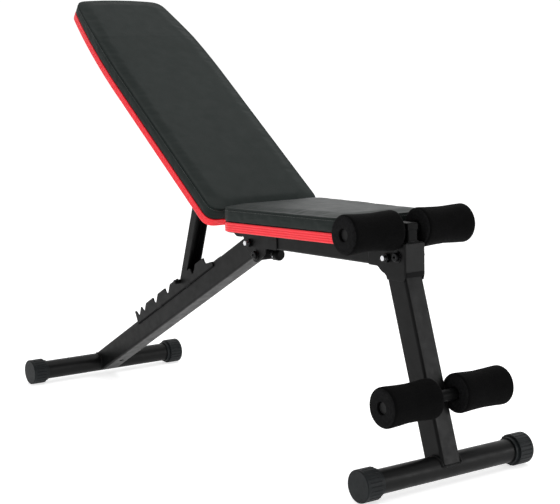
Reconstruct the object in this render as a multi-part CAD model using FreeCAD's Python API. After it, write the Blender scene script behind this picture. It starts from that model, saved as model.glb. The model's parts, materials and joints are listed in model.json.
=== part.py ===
import FreeCAD, Part
import math
import os

# Adjustable decline sit up bench. Millimetres, +X to the foot end, +Z up, floor at Z = 0.

V = FreeCAD.Vector
ORIGIN = V(0, 0, 0)

# ---------------------------------------------------------------- driving dimensions
WHEELBASE = 1280.0          # between the two floor tubes
FLOOR_TUBE_R = 22.5
FLOOR_TUBE_Z = 30.0         # axis height, equal to the end cap radius
REAR_WIDTH = 426.0          # over the end caps
FRONT_WIDTH = 405.0
WALL = 2.0                  # tube wall

CAP_R = 30.0
CAP_LENGTH = 42.0
CAP_END = 4.0               # thickness of the closed end
CAP_COLLAR = 6.0            # plain ring next to the end face
CAP_SLEEVE = 34.0           # end of the fluted part
CAP_NECK_R = 25.5
CAP_FLUTES = 24

LEG_W = 44.0                # tube width across the bench
LEG_H = 50.0                # tube depth
LEG_CORNER = 5.0
LEG_LEAN = 16.8             # front leg, degrees from vertical, top to the rear
BEAM_RISE = 27.1            # rear support, degrees from the floor

CHEEK_GAP = 44.6            # between the side plates of both brackets
PLATE = 2.5                 # bracket plate

SEAT_BEAM_X = (116.0, 486.0)
SEAT_BEAM_Z = (388.0, 434.0)

REAR_PIVOT = (87.0, 372.0)      # rear support bolt, X and Z
STOP_BOLT = (65.0, 396.0)
BACK_PIVOT = (42.3, 435.8)      # backrest hinge
LEG_BOLTS = ((517.0, 405.5), (544.5, 409.5))
BOLT_R = 5.0
FIT = 0.05                      # radial clearance of a running fit

BACK_TILT = 37.6            # backrest above horizontal
BACK_LENGTH = 764.0
BACK_WIDTH = 278.0
BACK_TOP_WIDTH = 240.0
SEAT_X = (114.0, 492.0)
SEAT_Z = 434.0
SEAT_WIDTH = 274.0
SEAT_FRONT_WIDTH = 222.0
BOARD = 12.0                # plywood
TRIM_H = 19.0               # ribbed edge band of the seat
BACK_TRIM_H = 16.5
TRIM_T = 4.0
PAD_T = 50.0                # board underside to pad top
BACK_THIN = (600.0, 9.0)    # the backrest pad thins from here, by this much at its top end
SEAT_PAD_T = 53.5

RAIL_W = 42.0               # backrest channel
RAIL_H = 26.0
RAIL_LENGTH = 640.0
STRUT_PIVOT = (228.0, -14.7)    # along and behind the backrest board
STRUT_W = 35.0
STRUT_D = 22.0

PITCH = 63.5                # rack teeth
TOOTH_TIPS = (257.0, 286.5, 349.0, 412.5, 476.0, 539.5, 603.0)
TOOTH_TOP = 46.0            # tip height over the support's axis
NOTCH_LOW = 31.0
RACK_T = 3.0
PIN_NOTCH = 4               # the cross pin lies to the foot side of this tooth tip

ROD_R = 11.0
FOAM_R = 37.5
FOAM_L = 119.0
FOAM_IN = {"right": 25.0, "left": 30.0}     # inner end of each foam from the centre plane
UPPER_ROD = (536.0, 459.0)
LOWER_ROD_Z = 160.0
ROD_HALF = 136.0
POST_X = (511.0, 561.0)
POST_W = 24.0
POST_TOP = 472.0

PLUNGER_Z = 374.5

os.makedirs("parts", exist_ok=True)


# ---------------------------------------------------------------- helpers
def save(name, shape):
    if shape.ShapeType == "Compound" and len(shape.Solids) == 1:
        shape = shape.Solids[0]
    shape.exportStep("parts/" + name + ".step")
    box = shape.BoundBox
    print(name, len(shape.Solids), shape.isValid(), round(box.XMin), round(box.XMax), round(box.ZMin), round(box.ZMax))


def box(x0, x1, y0, y1, z0, z1):
    return Part.makeBox(x1 - x0, y1 - y0, z1 - z0, V(x0, y0, z0))


def rod_y(x, z, r, y0, y1):
    return Part.makeCylinder(r, y1 - y0, V(x, y0, z), V(0, 1, 0))


def rod_x(y, z, r, x0, x1):
    return Part.makeCylinder(r, x1 - x0, V(x0, y, z), V(1, 0, 0))


def rod_z(x, y, r, z0, z1):
    return Part.makeCylinder(r, z1 - z0, V(x, y, z0), V(0, 0, 1))


def plate(points, y0, y1):
    """A plate standing in the XZ plane, from y0 to y1."""
    ring = [V(x, y0, z) for x, z in points]
    face = Part.Face(Part.makePolygon(ring + ring[:1]))
    return face.extrude(V(0, y1 - y0, 0))


def join(shapes):
    whole = shapes[0]
    for shape in shapes[1:]:
        whole = whole.fuse(shape)
    return whole.removeSplitter()


def both_sides(shape):
    return shape.mirror(ORIGIN, V(0, 1, 0))


def hexagon(x, z, across, y0, y1):
    r = across / math.sqrt(3)
    turns = [math.radians(60 * i) for i in range(6)]
    return plate([(x + r * math.cos(t), z + r * math.sin(t)) for t in turns], y0, y1)


def round_bar(x0, x1, w, h, corner):
    """A bar along X with rounded long edges, centred on the X axis."""
    bar = box(x0, x1, -w / 2, w / 2, -h / 2, h / 2)
    long_edges = [e for e in bar.Edges if abs(e.Vertexes[0].X - e.Vertexes[1].X) > 1]
    return bar.makeFillet(corner, long_edges)


def tube(x0, x1, w, h, corner=LEG_CORNER, wall=WALL):
    inner = round_bar(x0 - 1, x1 + 1, w - 2 * wall, h - 2 * wall, corner - wall)
    return round_bar(x0, x1, w, h, corner).cut(inner)


def on_line(shape, x, z, degrees):
    """Move a shape built along +X so that it rises at an angle from (x, z)."""
    moved = shape.copy()
    moved.rotate(ORIGIN, V(0, 1, 0), -degrees)
    moved.translate(V(x, 0, z))
    return moved


# ---------------------------------------------------------------- floor tubes and caps
def floor_tube(x, width):
    end = width / 2 - CAP_END
    return rod_y(x, FLOOR_TUBE_Z, FLOOR_TUBE_R, -end, end).cut(
        rod_y(x, FLOOR_TUBE_Z, FLOOR_TUBE_R - WALL, -end - 1, end + 1))


def end_cap(x, width):
    """Near side cap: a plain collar, a fluted sleeve and a smaller neck over the tube."""
    y0 = -width / 2
    cap = rod_y(x, FLOOR_TUBE_Z, CAP_R, y0, y0 + CAP_SLEEVE)
    rim = [e for e in cap.Edges if abs(e.BoundBox.YMax - y0) < 0.01 and e.Closed]
    cap = cap.makeFillet(2.0, rim)
    neck = rod_y(x, FLOOR_TUBE_Z, CAP_NECK_R, y0 + CAP_SLEEVE, y0 + CAP_LENGTH)
    bore = rod_y(x, FLOOR_TUBE_Z, FLOOR_TUBE_R, y0 + CAP_END, y0 + CAP_LENGTH + 1)
    cap = join([cap, neck]).cut(bore)
    flutes = []
    for i in range(CAP_FLUTES):
        t = 2 * math.pi * (i + 0.5) / CAP_FLUTES
        flutes.append(rod_y(x + (CAP_R + 0.4) * math.cos(t), FLOOR_TUBE_Z + (CAP_R + 0.4) * math.sin(t),
                            1.6, y0 + CAP_COLLAR, y0 + CAP_SLEEVE + 1))
    return cap.cut(Part.makeCompound(flutes))


REAR_X = -WHEELBASE / 2
FRONT_X = WHEELBASE / 2
save("front_floor_tube", floor_tube(FRONT_X, FRONT_WIDTH))
for place, x, width in (("rear", REAR_X, REAR_WIDTH), ("front", FRONT_X, FRONT_WIDTH)):
    near = end_cap(x, width)
    save(place + "_cap_right", near)
    save(place + "_cap_left", both_sides(near))

# ---------------------------------------------------------------- rear support beam with its rack
BEAM_FOOT = (REAR_X + 2.0, FLOOR_TUBE_Z)
BEAM_A = math.radians(BEAM_RISE)


def on_beam(shape):
    return on_line(shape, BEAM_FOOT[0], BEAM_FOOT[1], BEAM_RISE)


def beam_point(a, n):
    return (BEAM_FOOT[0] + a * math.cos(BEAM_A) - n * math.sin(BEAM_A),
            BEAM_FOOT[1] + a * math.sin(BEAM_A) + n * math.cos(BEAM_A))


pivot_a = ((REAR_PIVOT[0] - BEAM_FOOT[0]) * math.cos(BEAM_A)
           + (REAR_PIVOT[1] - BEAM_FOOT[1]) * math.sin(BEAM_A))
BEAM_END = pivot_a - 21.0

beam = on_beam(tube(-40.0, BEAM_END, LEG_W, LEG_H))
beam = beam.cut(box(REAR_X - 60, REAR_X - 8, -60, 60, 0, 120))
beam = beam.cut(box(REAR_X - 60, REAR_X + 200, -60, 60, -60, 14))
beam = beam.cut(rod_y(REAR_X, FLOOR_TUBE_Z, FLOOR_TUBE_R, -60, 60))
drain = Part.makeCylinder(6.0, 20, V(0, 0, -LEG_H), V(0, 0, 1))
drain.translate(V(78.0, 0, LEG_H / 2 - 6))
beam = beam.cut(on_beam(drain))
save("rear_support_beam", beam)

save("rear_floor_tube", floor_tube(REAR_X, REAR_WIDTH))


def rack_profile():
    """Seven teeth with a steep foot side, a flat top and a sloping head side."""
    low = LEG_H / 2 - 8.2
    first, last = TOOTH_TIPS[0], TOOTH_TIPS[-1]
    points = [(first - 6.2, low), (first - 5.5, TOOTH_TOP - 1.0), (first - 4.0, TOOTH_TOP + 1.0)]
    for i, tip in enumerate(TOOTH_TIPS):
        flat = 2.0 if i == 1 else 37.5
        if i:
            points += [(tip - flat - 16.0, NOTCH_LOW), (tip - flat - 1.0, TOOTH_TOP - 1.0), (tip - flat, TOOTH_TOP)]
        wall = 5.0 if i < 2 else 1.0
        points += [(tip - 0.6, TOOTH_TOP), (tip + 0.3, TOOTH_TOP - 1.2), (tip + wall, NOTCH_LOW + 5.0)]
        points += [(tip + wall + 3.2, NOTCH_LOW)]
    points += [(last + 30.0, LEG_H / 2 + 0.5), (last + 31.0, LEG_H / 2 - 2.0), (last + 30.0, low)]
    return points


# the plates lap the outside of the tube
rack = on_beam(plate(rack_profile(), LEG_W / 2, LEG_W / 2 + RACK_T))
save("rack_plate_left", rack)
save("rack_plate_right", both_sides(rack))


# ---------------------------------------------------------------- fasteners across the bench
def screw_bolt(x, z, r, head_r, head_h, y_head, y_end):
    """Button head at y_head, shank towards y_end."""
    side = 1 if y_end > y_head else -1
    y_out = y_head - side * head_h
    head = rod_y(x, z, head_r, min(y_head, y_out), max(y_head, y_out))
    rim = [e for e in head.Edges if e.Closed and abs(e.BoundBox.YMax - y_out) < 0.01]
    head = head.makeFillet(head_h * 0.4, rim)
    socket = hexagon(x, z, head_r * 0.7, min(y_out, y_out + side * head_h * 0.5),
                     max(y_out, y_out + side * head_h * 0.5))
    shank = rod_y(x, z, r, min(y_head, y_end), max(y_head, y_end))
    return join([head.cut(socket), shank])


def nut(x, z, r, across, y0, y1):
    return hexagon(x, z, across, y0, y1).cut(rod_y(x, z, r, y0 - 1, y1 + 1))


def washer(x, z, r, outer, y0, y1):
    return rod_y(x, z, outer, y0, y1).cut(rod_y(x, z, r, y0 - 1, y1 + 1))


CHEEK = CHEEK_GAP / 2
OUT = CHEEK + PLATE


def black_bolt(name, x, z):
    save(name, screw_bolt(x, z, BOLT_R, 8.5, 5.5, -OUT - 2.0, OUT + 12.0))
    save(name + "_nut", nut(x, z, BOLT_R, 17.0, OUT + 2.0, OUT + 10.0))
    save(name + "_washers", Part.makeCompound([washer(x, z, BOLT_R, 11.0, -OUT - 2.0, -OUT),
                                               washer(x, z, BOLT_R, 11.0, OUT, OUT + 2.0)]))


def plated_bolt(name, x, z):
    """Head on the left side, thread end standing proud of its nut on the right."""
    save(name, screw_bolt(x, z, BOLT_R, 8.0, 5.0, OUT, -OUT - 13.0))
    save(name + "_nut", nut(x, z, BOLT_R, 16.0, -OUT - 7.0, -OUT))


# ---------------------------------------------------------------- seat beam and its brackets
beam_z = (SEAT_BEAM_Z[0] + SEAT_BEAM_Z[1]) / 2
beam_h = SEAT_BEAM_Z[1] - SEAT_BEAM_Z[0]
SEAT_BOLTS = (210.0, 400.0)
seat_beam = tube(SEAT_BEAM_X[0], SEAT_BEAM_X[1], CHEEK_GAP, beam_h)
seat_beam.translate(V(0, 0, beam_z))
for x in SEAT_BOLTS:
    seat_beam = seat_beam.cut(rod_z(x, 0, 4.0, 425, 440)).cut(rod_z(x, 0, 8.0, 380, 395))
save("seat_beam", seat_beam)

ax, az = REAR_PIVOT
sx, sz = STOP_BOLT
hx, hz = BACK_PIVOT
cheek_outline = [(162, 388), (124, 388), (118, 374), (98, 360.3), (76, 360.3), (52, 382), (46, 398),
                 (28.3, 432), (34, 446), (50, 448), (56.3, 436), (57.5, 416), (64, 412), (82, 420),
                 (110, 434), (162, 434)]
cheek = join([plate(cheek_outline, CHEEK, OUT), rod_y(ax, az, 16, CHEEK, OUT), rod_y(sx, sz, 15, CHEEK, OUT),
              rod_y(hx, hz, 14.5, CHEEK, OUT)])
for x, z, r in ((ax, az, BOLT_R), (sx, sz, BOLT_R), (hx, hz, BOLT_R)):
    cheek = cheek.cut(rod_y(x, z, r, 0, 50))
save("rear_hinge_plate_left", cheek)
save("rear_hinge_plate_right", both_sides(cheek))

# cross plate that carries the lock plunger
cross = box(112, 115, -CHEEK, CHEEK, 366.5, 388).cut(rod_x(0, PLUNGER_Z, 4.0 + FIT, 100, 120))
save("plunger_plate", cross)

# hinge tongue of the rear support: a bent channel inside the tube's mouth, round the pivot bolt
TONGUE = LEG_W / 2 - WALL
tongue_side = [(63.8, 364.6), (14, 339), (-5.6, 377.6), (36.9, 399.5), (50, 384), (66, 384), (76, 388),
               (103, 388), (103, 362), (87, 359), (76, 362)]
solid = join([plate(tongue_side, -TONGUE, TONGUE), rod_y(ax, az, 13, -TONGUE, TONGUE)])
hollow = box(-40, 100, -TONGUE + 3, TONGUE - 3, 300, 420)
tongue = solid.cut(hollow).cut(beam)
tongue = tongue.cut(rod_y(ax, az, BOLT_R, -60, 60)).cut(rod_x(0, PLUNGER_Z, 4.0 + FIT, 90, 110))
save("support_hinge_tongue", tongue)
spacers = [washer(ax, az, BOLT_R, 9.0, TONGUE, CHEEK), washer(ax, az, BOLT_R, 9.0, -CHEEK, -TONGUE)]
save("support_pivot_spacers", Part.makeCompound(spacers))
black_bolt("support_pivot_bolt", ax, az)
plated_bolt("support_stop_bolt", sx, sz)

# spring lock plunger, drawn towards the foot end
body = rod_x(0, PLUNGER_Z, 8.0, 115, 127)
body = body.cut(rod_x(0, PLUNGER_Z, 6.1, 115, 125)).cut(rod_x(0, PLUNGER_Z, 4.0 + FIT, 120, 130))
save("plunger_barrel", body)
save("plunger_pin", join([rod_x(0, PLUNGER_Z, 4.0, 97.5, 138), rod_x(0, PLUNGER_Z, 6.0, 115.3, 116.9)]))
knob = rod_x(0, PLUNGER_Z, 12.8, 127.4, 143)
rims = [e for e in knob.Edges if e.Closed and e.Length > 70]
front_rim = [e for e in rims if e.BoundBox.XMin > 140]
back_rim = [e for e in rims if e.BoundBox.XMin < 130]
knob = knob.makeFillet(6.0, front_rim).makeFillet(2.5, [e for e in knob.makeFillet(6.0, front_rim).Edges
                                                        if e.Closed and e.BoundBox.XMax < 128 and e.Length > 70])
save("plunger_knob", knob.cut(rod_x(0, PLUNGER_Z, 4.0, 120, 138)))

# front bracket: one bent plate round the head of the leg, with a lip on the leg's face
front_outline = [(462, 434), (462, 388), (487, 387.4), (491, 385), (495, 381.4), (500.5, 377.8), (508, 375),
                 (512.5, 371), (515.3, 364.5), (561.2, 364.5), (563.5, 371.5), (566.5, 381), (566.5, 434)]
front_inner = [(440, 300), (580, 300), (580, 371), (560.9, 371), (561.6, 373.2), (564, 381.4), (564, 450), (440, 450)]
bracket = plate(front_outline, -OUT, OUT)
bends = [e for e in bracket.Edges if abs(e.BoundBox.XMin - 566.5) < 0.01 and e.BoundBox.ZLength > 20
         and e.BoundBox.YLength < 0.01]
bracket = bracket.makeFillet(3.5, bends)
bracket = bracket.cut(plate(front_inner, -CHEEK, CHEEK))
for x, z in LEG_BOLTS:
    bracket = bracket.cut(rod_y(x, z, BOLT_R, -50, 50))

# ---------------------------------------------------------------- front leg
LEG_A = math.radians(90 + LEG_LEAN)
LEG_FOOT = (FRONT_X - 1.0, FLOOR_TUBE_Z)


def on_leg(shape):
    return on_line(shape, LEG_FOOT[0], LEG_FOOT[1], 90 + LEG_LEAN)


def leg_x(z, n=0.0):
    """X of the leg's axis at height z, or of a line n in front of it."""
    return (LEG_FOOT[0] - (z - LEG_FOOT[1]) * math.tan(math.radians(LEG_LEAN))
            + n / math.cos(math.radians(LEG_LEAN)))


LOWER_ROD = (leg_x(LOWER_ROD_Z, LEG_H / 2 + ROD_R - 1.0), LOWER_ROD_Z)
leg = on_leg(tube(0, 440, LEG_W, LEG_H))
leg = leg.cut(rod_y(FRONT_X, FLOOR_TUBE_Z, FLOOR_TUBE_R, -60, 60)).cut(box(300, 700, -60, 60, -40, FLOOR_TUBE_Z))
leg = leg.cut(box(FRONT_X, 700, -60, 60, 0, FLOOR_TUBE_Z + 7.0))
leg = leg.cut(box(300, 700, -60, 60, 434, 600)).cut(rod_y(LOWER_ROD[0], LOWER_ROD[1], ROD_R, -60, 60))
for x, z in LEG_BOLTS:
    leg = leg.cut(rod_y(x, z, BOLT_R, -50, 50))
save("front_leg", leg)
bracket = bracket.cut(on_leg(box(200, 440, -CHEEK, CHEEK, -LEG_H / 2, LEG_H / 2)))
save("front_bracket", bracket)
plated_bolt("leg_rear_bolt", LEG_BOLTS[0][0], LEG_BOLTS[0][1])
black_bolt("leg_front_bolt", LEG_BOLTS[1][0], LEG_BOLTS[1][1])

# ---------------------------------------------------------------- leg rollers
ux, uz = UPPER_ROD
save("roller_base_plate", box(500, 565, -20, 20, 434, 436.5))
post = tube(0, uz - 436.5, POST_W, POST_X[1] - POST_X[0], 3.0)
post.rotate(ORIGIN, V(0, 1, 0), -90)
post.translate(V((POST_X[0] + POST_X[1]) / 2, 0, 436.5))
save("roller_post", post.cut(rod_y(ux, uz, ROD_R, -60, 60)))
top = box(POST_X[0], POST_X[1], -POST_W / 2, POST_W / 2, uz + 0.2, POST_TOP)
top = top.makeFillet(3.0, [e for e in top.Edges if e.BoundBox.ZMax > POST_TOP - 0.01 and e.BoundBox.ZLength < 0.01])
save("roller_clamp", top.cut(rod_y(ux, uz, ROD_R, -60, 60)))

for level, (x, z) in (("upper", UPPER_ROD), ("lower", LOWER_ROD)):
    save(level + "_roller_rod", rod_y(x, z, ROD_R, -ROD_HALF, ROD_HALF).cut(
        rod_y(x, z, ROD_R - 1.5, -ROD_HALF - 1, ROD_HALF + 1)))
    plug = join([rod_y(x, z, ROD_R - 0.1, -ROD_HALF - 3, -ROD_HALF),
                 rod_y(x, z, ROD_R - 1.5, -ROD_HALF, -ROD_HALF + 14)])
    save(level + "_rod_plugs", Part.makeCompound([plug, both_sides(plug)]))
    for side, inner in FOAM_IN.items():
        foam = rod_y(x, z, FOAM_R, -inner - FOAM_L, -inner)
        foam = foam.makeFillet(6.0, [e for e in foam.Edges if e.Closed])
        foam = foam.cut(rod_y(x, z, ROD_R + FIT, -200, 0))
        save(level + "_foam_" + side, foam if side == "right" else both_sides(foam))


# ---------------------------------------------------------------- pads
def slab(outline, z0, z1):
    """Extrude a closed wire lying in the XY plane."""
    face = Part.Face(outline)
    body = face.extrude(V(0, 0, z1 - z0))
    body.translate(V(0, 0, z0))
    return body


def upright(shape):
    return [e for e in shape.Edges if e.BoundBox.ZLength > 1 and e.BoundBox.XLength < 0.01]


def back_outline(inset, z0, z1):
    """Straight sides that draw in towards a slightly bowed top edge."""
    w = BACK_WIDTH / 2 - inset
    end = BACK_LENGTH - 9.0 - inset
    t = BACK_TOP_WIDTH / 2 - 5.0 - inset
    low = V(inset, -w, 0)
    bend = V(430, -w, 0)
    tip = V(end, -t, 0)
    side = Part.Arc(bend, V(590, -w + 5.0, 0), tip).toShape()
    crown = Part.Arc(tip, V(BACK_LENGTH - inset, 0, 0), V(end, t, 0)).toShape()
    other = Part.Arc(V(end, t, 0), V(590, w - 5.0, 0), V(430, w, 0)).toShape()
    edges = [Part.makeLine(low, bend), side, crown, other, Part.makeLine(V(430, w, 0), V(inset, w, 0)),
             Part.makeLine(V(inset, w, 0), low)]
    body = slab(Part.Wire(edges), z0, z1)
    low_edges = [e for e in upright(body) if e.BoundBox.XMax < 100]
    top_edges = [e for e in upright(body) if e.BoundBox.XMax > 700]
    return body.makeFillet(22.0 - inset / 2, low_edges).makeFillet(28.0 - inset / 2, top_edges)


def seat_outline(inset, z0, z1):
    """Tapers towards the foot end."""
    x0, x1 = SEAT_X[0] + inset, SEAT_X[1] - inset
    w0, w1 = SEAT_WIDTH / 2 - inset, SEAT_FRONT_WIDTH / 2 - inset
    ring = [V(x0, -w0, 0), V(x1, -w1, 0), V(x1, w1, 0), V(x0, w0, 0), V(x0, -w0, 0)]
    body = slab(Part.makePolygon(ring), z0, z1)
    return body.makeFillet(34.0 - inset / 2, upright(body))


def cushion(outline, thick, trim, thinned=None):
    """Foam pad: a full width top over a narrower base inside the edge band."""
    full = outline(0.0, trim + 1.5, thick)
    if thinned:
        start, drop = thinned
        full = full.cut(plate([(start, thick), (BACK_LENGTH, thick - drop), (BACK_LENGTH, thick + 9),
                               (start, thick + 9)], -200, 200))
    rim = [e for e in full.Edges if e.BoundBox.ZMin > thick - 9.01 and e.BoundBox.YLength < 274]
    full = full.makeFillet(9.0, rim)
    base = outline(TRIM_T + 1.5, BOARD + 0.2, trim + 1.5)
    return join([full, base])


def edge_band(outline, trim):
    return outline(0.0, 0.8, trim + 1.0).cut(outline(TRIM_T, 0, trim + 2))


def board(outline, holes, r):
    sheet = outline(TRIM_T + 0.2, 0.0, BOARD)
    for x in holes:
        sheet = sheet.cut(rod_z(x, 0, r, -1, BOARD - 2.0))
    return sheet


def to_seat(shape):
    moved = shape.copy()
    moved.translate(V(0, 0, SEAT_Z))
    return moved


BACK_FOOT = (69.5, 438.3)       # back face of the board at its lower end


def to_back(shape):
    moved = shape.copy()
    moved.rotate(ORIGIN, V(0, 0, 1), 180)
    moved.rotate(ORIGIN, V(0, 1, 0), BACK_TILT)
    moved.translate(V(BACK_FOOT[0], 0, BACK_FOOT[1]))
    return moved


def back_point(s, off):
    t = math.radians(BACK_TILT)
    return (BACK_FOOT[0] - s * math.cos(t) + off * math.sin(t), BACK_FOOT[1] + s * math.sin(t) + off * math.cos(t))


RAIL_SCREWS = (60.0, 330.0, 470.0, 610.0)
save("seat_board", to_seat(board(seat_outline, SEAT_BOLTS, 4.0)))
save("seat_edge_band", to_seat(edge_band(seat_outline, TRIM_H)))
save("seat_pad", to_seat(cushion(seat_outline, SEAT_PAD_T, TRIM_H)))
save("back_board", to_back(board(back_outline, RAIL_SCREWS, 2.5)))
save("back_edge_band", to_back(edge_band(back_outline, BACK_TRIM_H)))
save("back_pad", to_back(cushion(back_outline, PAD_T, BACK_TRIM_H, BACK_THIN)))

roof = SEAT_BEAM_Z[1] - WALL     # the heads sit under the beam's top wall, reached through its bottom holes
screws = []
for x in SEAT_BOLTS:
    screws.append(join([rod_z(x, 0, 6.5, roof - 5.0, roof), rod_z(x, 0, 4.0, roof, SEAT_Z + BOARD - 2.0)]))
save("seat_bolts", Part.makeCompound(screws))

# ---------------------------------------------------------------- backrest frame
rail = box(4, 4 + RAIL_LENGTH, -RAIL_W / 2, RAIL_W / 2, -RAIL_H, 0)
rail = rail.cut(box(0, 10 + RAIL_LENGTH, -RAIL_W / 2 + PLATE, RAIL_W / 2 - PLATE, -RAIL_H - 1, -PLATE))
for s in RAIL_SCREWS:
    rail = rail.cut(rod_z(s, 0, 2.5, -10, 1))
rail = to_back(rail)
px, pz = back_point(STRUT_PIVOT[0], STRUT_PIVOT[1])
rail = rail.cut(rod_y(hx, hz, 7.0, -50, 50)).cut(rod_y(px, pz, 4.0, -50, 50))
save("back_rail", rail)
pan = []
for s in RAIL_SCREWS:
    pan.append(join([rod_z(s, 0, 5.0, -PLATE - 3.0, -PLATE), rod_z(s, 0, 2.5, -PLATE, BOARD - 2.0)]))
save("back_rail_screws", to_back(Part.makeCompound(pan)))

INNER = RAIL_W / 2 - PLATE
hinge_outline = [(-8, 424), (-8, 414), (0, 408.5), (7, 404.5), (24, 404.5), (33, 408), (50, 424), (52, 434), (44, 452),
                 (10, 450)]
hinge = plate(hinge_outline, -INNER, INNER)
hinge = hinge.cut(plate([(-5, 415.5), (1, 411.2), (7.8, 407.5), (60, 407.5), (60, 470), (-5, 470)], -INNER + 3, INNER - 3))
hinge = hinge.cut(to_back(box(-50, 120, -30, 30, -PLATE, 60)))
hinge = hinge.cut(rod_y(hx, hz, 7.0, -50, 50))
save("back_hinge_gusset", hinge)
save("back_hinge_bush", rod_y(hx, hz, 7.0, -CHEEK + 0.1, CHEEK - 0.1).cut(rod_y(hx, hz, BOLT_R + FIT, -50, 50)))
black_bolt("back_hinge_bolt", hx, hz)

# ---------------------------------------------------------------- strut
notch_a = TOOTH_TIPS[PIN_NOTCH] + 7.1
nx, nz = beam_point(notch_a, NOTCH_LOW + 5.1)
strut_len = math.hypot(nx - px, nz - pz)
strut_dir = math.degrees(math.atan2(nz - pz, nx - px))
half = STRUT_W / 2
bar = box(0, strut_len + 7.0, -half, half, -11.0, STRUT_D - 11.0)
bar = bar.makeFillet(2.0, [e for e in bar.Edges if e.BoundBox.XLength > 50 and e.BoundBox.ZMax < 0])
bar = join([bar.cut(box(-20, 6, -30, 30, -20, 20)), box(0, 20, -half, half, -7.0, 8.0), rod_y(0, 0, 9.0, -half, half)])
bar = bar.cut(box(-20, strut_len + 20, -half + PLATE, half - PLATE, -11.0 + PLATE, 30))
bar = bar.cut(box(-20, 12, -half + PLATE, half - PLATE, -30, 30))
bar = bar.cut(rod_y(0, 0, 4.0 + FIT, -50, 50)).cut(rod_y(strut_len, 0, 5.0, -50, 50))
bar = on_line(bar, px, pz, strut_dir)
save("support_strut", bar.cut(on_beam(box(0, BEAM_END, -40, 40, 0, LEG_H / 2 + 0.7))))
cross_pin = rod_y(nx, nz, 5.0, -39, 39)
save("strut_cross_pin", cross_pin.makeFillet(1.2, [e for e in cross_pin.Edges if e.Closed]))
washers = [washer(px, pz, 4.0, 8.0, half + 0.1, INNER), washer(px, pz, 4.0, 8.0, -INNER, -half - 0.1)]
save("strut_washers", Part.makeCompound(washers))
save("strut_bolt", screw_bolt(px, pz, 4.0, 7.0, 4.5, -RAIL_W / 2, RAIL_W / 2 + 9.0))
save("strut_bolt_nut", nut(px, pz, 4.0, 13.0, RAIL_W / 2, RAIL_W / 2 + 7.0))

print("strut pivot", round(px, 2), round(pz, 2), "pin", round(nx, 2), round(nz, 2), "length", round(strut_len, 1))
print("lower rod", [round(v, 2) for v in LOWER_ROD])
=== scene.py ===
import json
import math
import random

import bpy
from mathutils import Matrix, Vector, noise
from mathutils.bvhtree import BVHTree
from mathutils.kdtree import KDTree


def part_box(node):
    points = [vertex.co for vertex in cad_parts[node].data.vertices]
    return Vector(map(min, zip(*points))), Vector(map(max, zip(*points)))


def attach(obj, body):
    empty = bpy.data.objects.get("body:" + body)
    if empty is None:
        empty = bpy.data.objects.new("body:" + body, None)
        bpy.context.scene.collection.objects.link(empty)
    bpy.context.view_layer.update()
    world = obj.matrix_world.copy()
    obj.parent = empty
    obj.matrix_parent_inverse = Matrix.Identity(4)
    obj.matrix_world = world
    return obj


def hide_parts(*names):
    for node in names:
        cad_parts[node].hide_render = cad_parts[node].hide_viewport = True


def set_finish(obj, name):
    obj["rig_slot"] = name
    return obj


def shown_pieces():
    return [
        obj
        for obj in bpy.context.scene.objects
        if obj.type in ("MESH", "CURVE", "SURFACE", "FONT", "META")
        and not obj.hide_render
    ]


# Looks of an adjustable decline sit up bench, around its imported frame.
# Meshes are made in millimetres in the bench's frame, and place() turns them into metres.
# Materials, lights and the camera are in metres.

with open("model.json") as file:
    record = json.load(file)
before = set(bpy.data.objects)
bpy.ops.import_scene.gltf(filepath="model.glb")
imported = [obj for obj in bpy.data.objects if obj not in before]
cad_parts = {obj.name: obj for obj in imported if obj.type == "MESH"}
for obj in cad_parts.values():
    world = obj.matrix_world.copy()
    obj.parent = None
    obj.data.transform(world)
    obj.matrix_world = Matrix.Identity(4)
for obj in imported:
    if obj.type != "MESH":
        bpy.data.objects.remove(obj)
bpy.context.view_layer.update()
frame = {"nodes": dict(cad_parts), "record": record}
NODES = frame["nodes"]
BODY_OF = {node: body for body, nodes in frame["record"]["behaviour"]["bodies"].items() for node in nodes}
SLOT_OF = {row["node"]: row["material_slot"] for row in frame["record"]["subparts"]}
MM = 0.001

# ---------------------------------------------------------------- the bench's own sizes
BACK_TILT = 37.6            # backrest above horizontal, degrees
BACK_FOOT = (69.5, 438.3)   # lower end of the backrest board's back face, X and Z
BACK_LENGTH = 764.0
BACK_HALF = 139.0
BACK_BEND = 430.0           # where the sides start to draw in
BACK_TIP = (755.0, 115.0)   # end of each side
SEAT_BASE = 434.0
SEAT_X = (114.0, 492.0)
SEAT_HALF = (137.0, 111.0)
BOARD_TOP = 12.0

BEAM_FOOT = (-638.0, 30.0)  # lower end of the rear support's axis, X and Z
BEAM_RISE = 27.1            # rear support above horizontal, degrees
TUBE_HALF = 22.0            # half width of the square tubes
FLOOR_TUBE_R = 22.5
FLOOR_TUBE_X = 640.0
FLOOR_TUBE_Z = 30.0
CHEEK_OUT = 24.8            # outer face of both brackets' side plates
PIN = (-224.38, 282.21)     # the strut's cross pin, X and Z
RACK_WELDS = ((355, 382), (495, 527))               # along the rear support
RACK_SHADOW_SPANS = ((251, 355), (382, 495), (527, 633))   # the rack plates' lower edges between them, where strips of painted shadow go

# ---------------------------------------------------------------- cloth and foam
CLOTH_VOXEL = 0.005         # metres
CLOTH_FRAMES = 20
CLOTH_PRESSURE = 4.0
SWELL_CAP = 3.2             # furthest a point of a cushion may move
TOP_SLACK = 1.5             # how far a cushion may rise over its nominal top
FOAM_BORE = 11.2
FOAM_LIP = 7.0
FOAM_WAIST = 2.3            # how much thinner a roller is at its middle


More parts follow.
